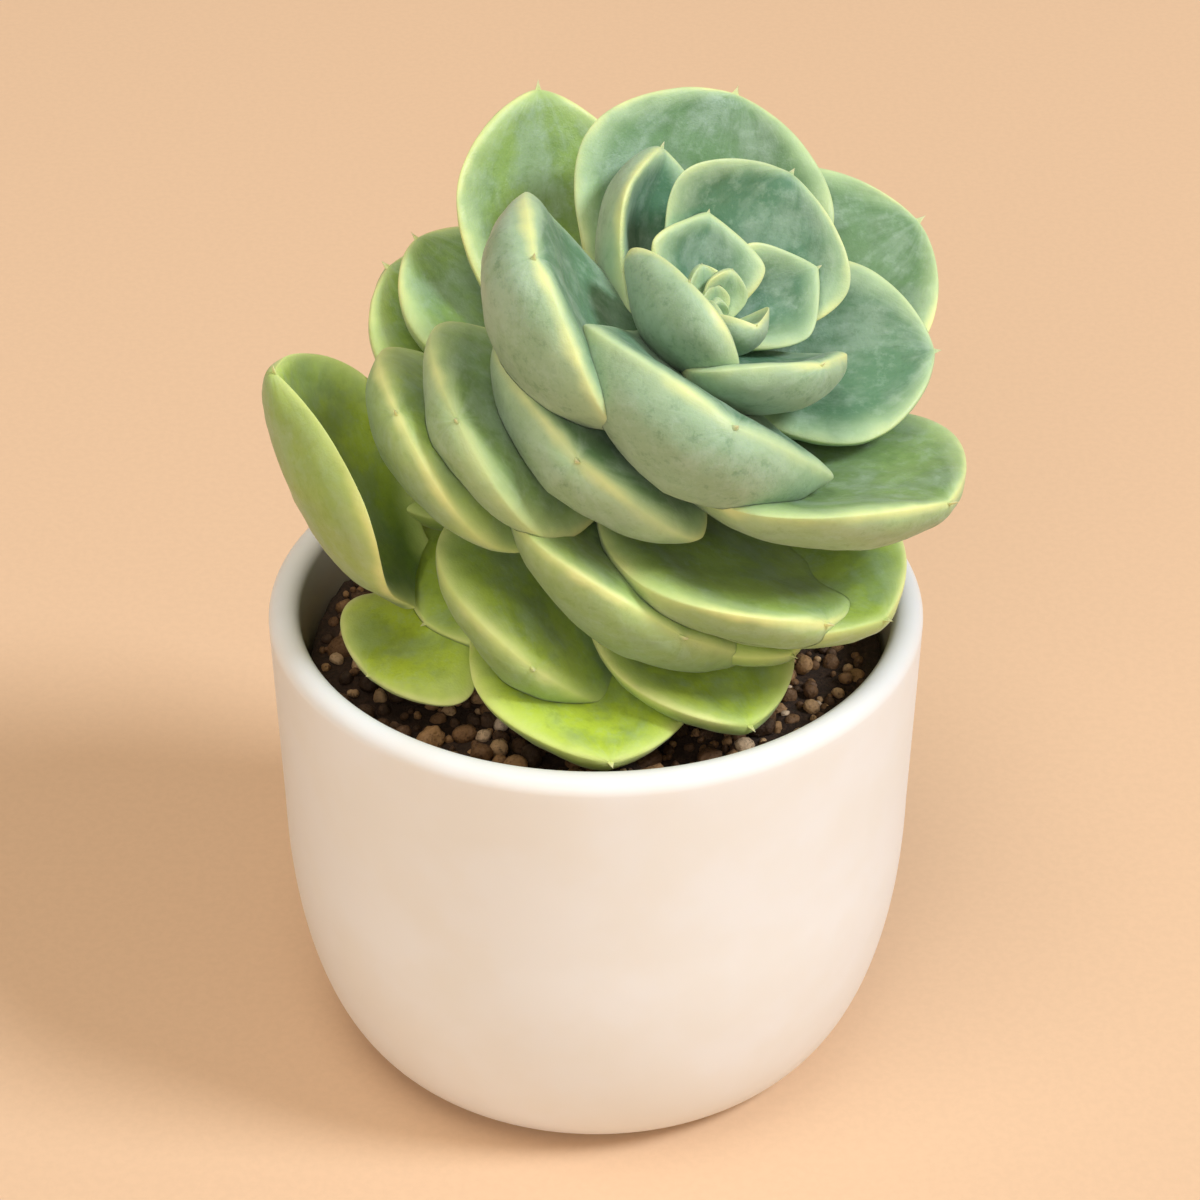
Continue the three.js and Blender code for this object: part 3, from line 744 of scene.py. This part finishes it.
class Nodes:
    """A material's node tree, with short ways to add to it."""

    def __init__(self, name):
        self.material = bpy.data.materials.new(name)
        self.material.use_nodes = True
        self.tree = self.material.node_tree
        self.shader = self.tree.nodes["Principled BSDF"]

    def feed(self, socket, value):
        """Links a socket to another one, or gives it a value."""
        if isinstance(value, bpy.types.NodeSocket):
            self.tree.links.new(value, socket)
        elif isinstance(value, tuple) and len(value) == 3 and socket.type == "RGBA":
            socket.default_value = (*value, 1)
        else:
            socket.default_value = value

    def add(self, kind, inputs=(), **settings):
        node = self.tree.nodes.new("ShaderNode" + kind)
        for key, value in settings.items():
            setattr(node, key, value)
        for key, value in dict(inputs).items():
            self.feed(node.inputs[key], value)
        return node

    def set(self, **inputs):
        for key, value in inputs.items():
            self.feed(self.shader.inputs[key.replace("_", " ")], value)

    def attribute(self, name):
        return self.add("Attribute", attribute_name=name).outputs["Fac"]

    def place(self, seed=None):
        """Object coordinates in millimetres, moved on by a seed so that no two leaves match."""
        place = self.add("TexCoord").outputs["Object"]
        scaled = self.add("VectorMath", {0: place, "Scale": 1 / MM}, operation="SCALE").outputs[0]
        if seed is None:
            return scaled
        shift = self.add("CombineXYZ", {"X": self.math("MULTIPLY", seed, 31.7), "Y": seed, "Z": seed})
        return self.add("VectorMath", {0: scaled, 1: shift.outputs[0]}, operation="ADD").outputs[0]

    def math(self, operation, a, b=0.0):
        return self.add("Math", {0: a, 1: b}, operation=operation).outputs[0]

    def ramp(self, value, low, high, out_low=0.0, out_high=1.0):
        """value from low to high, eased onto out_low to out_high."""
        return self.add(
            "MapRange", {"Value": value, "From Min": low, "From Max": high, "To Min": out_low,
                         "To Max": out_high}, interpolation_type="SMOOTHSTEP").outputs["Result"]

    def noise(self, place, size, detail=3.0, roughness=0.5):
        """Noise of about that size in millimetres."""
        return self.add("TexNoise", {"Vector": place, "Scale": 1 / size, "Detail": detail,
                                     "Roughness": roughness}).outputs["Fac"]

    def mix(self, share, a, b):
        """A colour between a and b; the node has its colour sockets at these places."""
        node = self.add("Mix", data_type="RGBA")
        self.feed(node.inputs[0], share)
        self.feed(node.inputs[6], a)
        self.feed(node.inputs[7], b)
        return node.outputs[2]

    def bump(self, height, distance, strength=1.0):
        """Relief of a height from 0 to 1, that far in millimetres."""
        return self.add("Bump", {"Height": height, "Distance": distance * MM,
                                 "Strength": strength}).outputs["Normal"]


def leaf_material():
    """Powdery green skin: bluish at the heart, yellowish below, with pale margins and tips; shade is
    painted towards each foot and under old leaves, highlight along the margins.
    """
    n = Nodes("leaf_skin")
    edge = n.attribute("leaf_edge")
    along = n.attribute("leaf_along")
    across = n.attribute("leaf_across")
    face = n.attribute("leaf_face")
    tone = n.attribute("leaf_tone")
    seed = n.attribute("leaf_seed")
    place = n.place(seed)

    # Streaks run along the leaf, so they are noise in the leaf's own coordinates.
    lengthwise = n.add("CombineXYZ", {"X": n.math("MULTIPLY", across, 3.0),
                                      "Y": n.math("MULTIPLY", along, 2.2), "Z": seed})
    streaks = n.noise(lengthwise.outputs[0], 1.0, 5.0, 0.65)
    blotches = n.noise(place, 7.0, 4.0, 0.6)
    speckles = n.noise(place, 0.8, 4.0, 0.65)
    scuffs = n.noise(place, 2.2, 5.0, 0.7)

    green = n.mix(tone, GLAUCOUS, OLD_GREEN)
    dark = n.mix(0.45, green, DEEP_GREEN_AND_SHADE)
    color = n.mix(n.ramp(blotches, 0.4, 0.62, 0.0, 0.8), green, dark)

    # The underside has a colour of its own, paler on young leaves; on old leaves it is darker, which is
    # painted shade for light falling from above.
    under = n.ramp(face, 0.15, -0.5, 0.0, 0.75)
    color = n.mix(under, color, n.mix(tone, YOUNG_UNDERSIDE, OLD_SHADED_UNDERSIDE))

    # A powdery bloom in strokes along the leaf, thickest on young leaves.
    powder = n.math("MULTIPLY", n.ramp(n.math("ADD", streaks, blotches), 0.88, 1.18),
                    n.ramp(tone, 0.0, 1.1, 0.36, 0.18))
    color = n.mix(powder, color, BLOOM)
    worn = n.math("MULTIPLY", n.ramp(scuffs, 0.5, 0.66), n.ramp(tone, 0.0, 1.0, 0.24, 0.14))
    color = n.mix(worn, color, BLOOM)
    color = n.mix(n.ramp(scuffs, 0.46, 0.34, 0.0, 0.35), color, dark)
    color = n.mix(n.ramp(speckles, 0.5, 0.72, 0.0, 0.22), color, dark)

    # Towards the foot the colour is darkened to deep green: painted shade where the leaves' feet lie
    # deep among the others.
    color = n.mix(n.ramp(along, 0.36, 0.08, 0.0, 0.7), color, DEEP_GREEN_AND_SHADE)

    # Pale margins: a wide green halo, stronger on the upper face, and a yellowish edge that comes and
    # goes, each partly the leaf's own pale margin and partly painted highlight along the ridge; and a
    # straw-coloured point.
    wander = n.math("MULTIPLY_ADD", n.noise(place, 4.0, 2.0), 2.4)
    reach = n.math("ADD", edge, n.math("SUBTRACT", wander, 1.2))
    halo_and_highlight = n.mix(tone, YOUNG_HALO_AND_HIGHLIGHT, OLD_HALO_AND_HIGHLIGHT)
    pale = n.math("MULTIPLY", n.ramp(reach, HALO_REACH, 0.0, 0.0, 0.8),
                  n.ramp(face, -0.5, 0.1, 0.55, 1.0))
    color = n.mix(pale, color, halo_and_highlight)
    patches = n.ramp(n.noise(place, 14.0, 1.0), 0.4, 0.62, 0.25, 0.85)
    color = n.mix(n.math("MULTIPLY", n.ramp(reach, EDGE_REACH, 0.0), patches), color, MARGIN_AND_HIGHLIGHT)
    color = n.mix(n.ramp(along, LEAF_SHOULDER, 0.995, 0.0, 0.6), color, TIP_STRAW)

    relief = n.math("ADD", n.math("MULTIPLY", streaks, 0.5), n.math("MULTIPLY", scuffs, 0.5))
    relief = n.math("ADD", relief, n.math("MULTIPLY", n.noise(place, 0.25, 2.0), 0.12))
    n.set(
        Base_Color=color,
        Roughness=n.ramp(n.noise(place, 3.0), 0.35, 0.65, 0.42, 0.6),
        Normal=n.bump(relief, 0.3, 0.8),
        Subsurface_Weight=0.12,
        Subsurface_Radius=(1.0, 1.3, 0.35),
        Subsurface_Scale=0.0015,
        Specular_IOR_Level=0.42,
        Sheen_Weight=0.12,
        Sheen_Roughness=0.5,
    )
    return n.material


def pot_material():
    """Smooth off-white ceramic with faint clouds and pinholes."""
    n = Nodes("pot_ceramic")
    place = n.place()
    clouds = n.noise(place, 14.0, 3.0)
    grain = n.noise(place, 0.7, 3.0)
    warm = tuple(c * f for c, f in zip(POT_WHITE, POT_WARMTH))
    color = n.mix(n.ramp(clouds, 0.35, 0.65), POT_WHITE, warm)

    # Painted shade inside the pot: a faint brown above the soil, strongest low down. It ends below the
    # soil's top, because the outside of the bottom lies within the same radius.
    x, y, z = n.add("SeparateXYZ", {0: place}).outputs
    radius = n.math("SQRT", n.math("ADD", n.math("MULTIPLY", x, x), n.math("MULTIPLY", y, y)))
    inside = n.math("MULTIPLY", n.ramp(radius, INNER_SHADE_OUTER, INNER_SHADE_INNER),
                    n.ramp(z, SOIL_TOP - 8, SOIL_TOP - 5))
    inner_shade = n.math("MULTIPLY", inside, n.ramp(z, POT_HEIGHT - 1, SOIL_TOP, 0.1, 0.75))
    n.set(
        Base_Color=n.mix(inner_shade, color, POT_INNER_SHADE),
        Roughness=n.ramp(clouds, 0.3, 0.7, 0.36, 0.48),
        Normal=n.bump(n.math("ADD", n.math("MULTIPLY", clouds, 2.0), n.math("MULTIPLY", grain, 0.1)),
                      0.1, 0.35),
        Subsurface_Weight=0.08,
        Subsurface_Radius=(1.0, 0.8, 0.6),
        Subsurface_Scale=0.001,
    )
    return n.material


def soil_material():
    """Dark, damp, crumbly mix between the grains."""
    n = Nodes("soil_crumbs")
    place = n.place()
    crumbs = n.noise(place, 0.8, 5.0, 0.7)
    n.set(
        Base_Color=n.mix(n.ramp(crumbs, 0.4, 0.7), SOIL_DARK, SOIL_BROWN),
        Roughness=0.85,
        Normal=n.bump(crumbs, 0.7),
    )
    return n.material


def grain_material():
    """Grit from near black through red-brown to tan and pinkish beige."""
    n = Nodes("soil_grit")
    place = n.place()
    tone = n.attribute("grain_tone")
    colors = n.add("ValToRGB", {"Fac": tone})
    ramp = colors.color_ramp
    # A new ramp has two stops already.
    for i, (at, color) in enumerate(GRAIN_COLORS):
        stop = ramp.elements[i] if i < 2 else ramp.elements.new(at)
        stop.position = at
        stop.color = (*color, 1)
    pits = n.noise(place, 0.5, 5.0, 0.65)
    veins = n.noise(place, 1.6, 3.0)
    color = n.mix(n.ramp(pits, 0.5, 0.72, 0.0, 0.75), colors.outputs["Color"], SOIL_DARK)
    color = n.mix(n.ramp(veins, 0.55, 0.7, 0.0, 0.3), color, GRAIN_VEIN)
    n.set(
        Base_Color=color,
        Roughness=n.ramp(pits, 0.3, 0.7, 0.38, 0.8),
        Normal=n.bump(pits, 0.35),
    )
    return n.material


def stem_material():
    """Olive bark with darker leaf scars."""
    n = Nodes("stem_bark")
    place = n.place()
    scars = n.noise(place, 2.0, 4.0, 0.6)
    n.set(
        Base_Color=n.mix(n.ramp(scars, 0.42, 0.62), STEM_OLIVE, STEM_SCAR),
        Roughness=0.7,
        Normal=n.bump(scars, 0.4),
    )
    return n.material


def floor_material():
    """Plain warm paper."""
    n = Nodes("floor_paper")
    fibres = n.noise(n.place(), 1.2, 4.0, 0.6)
    darker = tuple(c * FLOOR_SHADE for c in FLOOR_BEIGE)
    n.set(
        Base_Color=n.mix(n.ramp(fibres, 0.35, 0.65), FLOOR_BEIGE, darker),
        Roughness=0.8,
        Normal=n.bump(fibres, 0.05, 0.4),
    )
    return n.material


def dress(piece, material, node):
    """Gives a piece its one material and hides the solid it stands for, if any."""
    piece.data.materials.clear()
    piece.data.materials.append(material)
    if node:
        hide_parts(node)


# Stage

def build_floor():
    corners = [(x * FLOOR_REACH, y * FLOOR_REACH, 0) for x, y in ((-1, -1), (1, -1), (1, 1), (-1, 1))]
    floor = make_object("floor", corners, [(0, 1, 2, 3)])
    floor.data.materials.append(floor_material())


def look_at(piece, target):
    piece.rotation_euler = (Vector(target) - piece.location).to_track_quat("-Z", "Y").to_euler()


def add_area_light(name, place, size, watts, color):
    light = bpy.data.lights.new(name, "AREA")
    light.shape = "DISK"
    light.size = size
    light.energy = watts
    light.color = color
    lamp = bpy.data.objects.new(name, light)
    lamp.location = place
    bpy.context.scene.collection.objects.link(lamp)
    look_at(lamp, LIGHT_TARGET)


def build_lights():
    for light in LIGHTS:
        add_area_light(*light)
    world = bpy.data.worlds.new("studio")
    world.use_nodes = True
    background = world.node_tree.nodes["Background"]
    background.inputs["Color"].default_value = WORLD_COLOR
    background.inputs["Strength"].default_value = WORLD_STRENGTH
    bpy.context.scene.world = world


def build_camera():
    elevation = math.radians(CAMERA_ELEVATION)
    back = Vector((0, -math.cos(elevation), math.sin(elevation)))
    camera = bpy.data.cameras.new("camera")
    camera.sensor_width = SENSOR
    camera.lens = LENS
    camera.clip_start = 0.01
    holder = bpy.data.objects.new("camera", camera)
    holder.location = (Vector(CAMERA_TARGET) + back * CAMERA_DISTANCE) * MM
    bpy.context.scene.collection.objects.link(holder)
    look_at(holder, Vector(CAMERA_TARGET) * MM)
    bpy.context.scene.camera = holder


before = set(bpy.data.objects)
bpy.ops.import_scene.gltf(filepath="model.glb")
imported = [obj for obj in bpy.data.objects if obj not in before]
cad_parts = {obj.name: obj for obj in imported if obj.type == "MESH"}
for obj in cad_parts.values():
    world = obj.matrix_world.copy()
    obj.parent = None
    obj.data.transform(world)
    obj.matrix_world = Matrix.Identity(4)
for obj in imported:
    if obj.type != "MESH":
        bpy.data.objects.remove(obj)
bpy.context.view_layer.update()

pot = build_pot()
dress(pot, pot_material(), "pot")
bed = build_soil()
dress(bed, soil_material(), "soil")
grains = build_grains()
dress(grains, grain_material(), None)
stem = build_stem()
leaves = build_leaves(stem)
dress(stem, stem_material(), "stem")
for piece in [pot, bed, grains, stem, *leaves]:
    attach(piece, "root")

build_floor()
build_lights()
build_camera()
bpy.context.scene.view_settings.view_transform = "Standard"
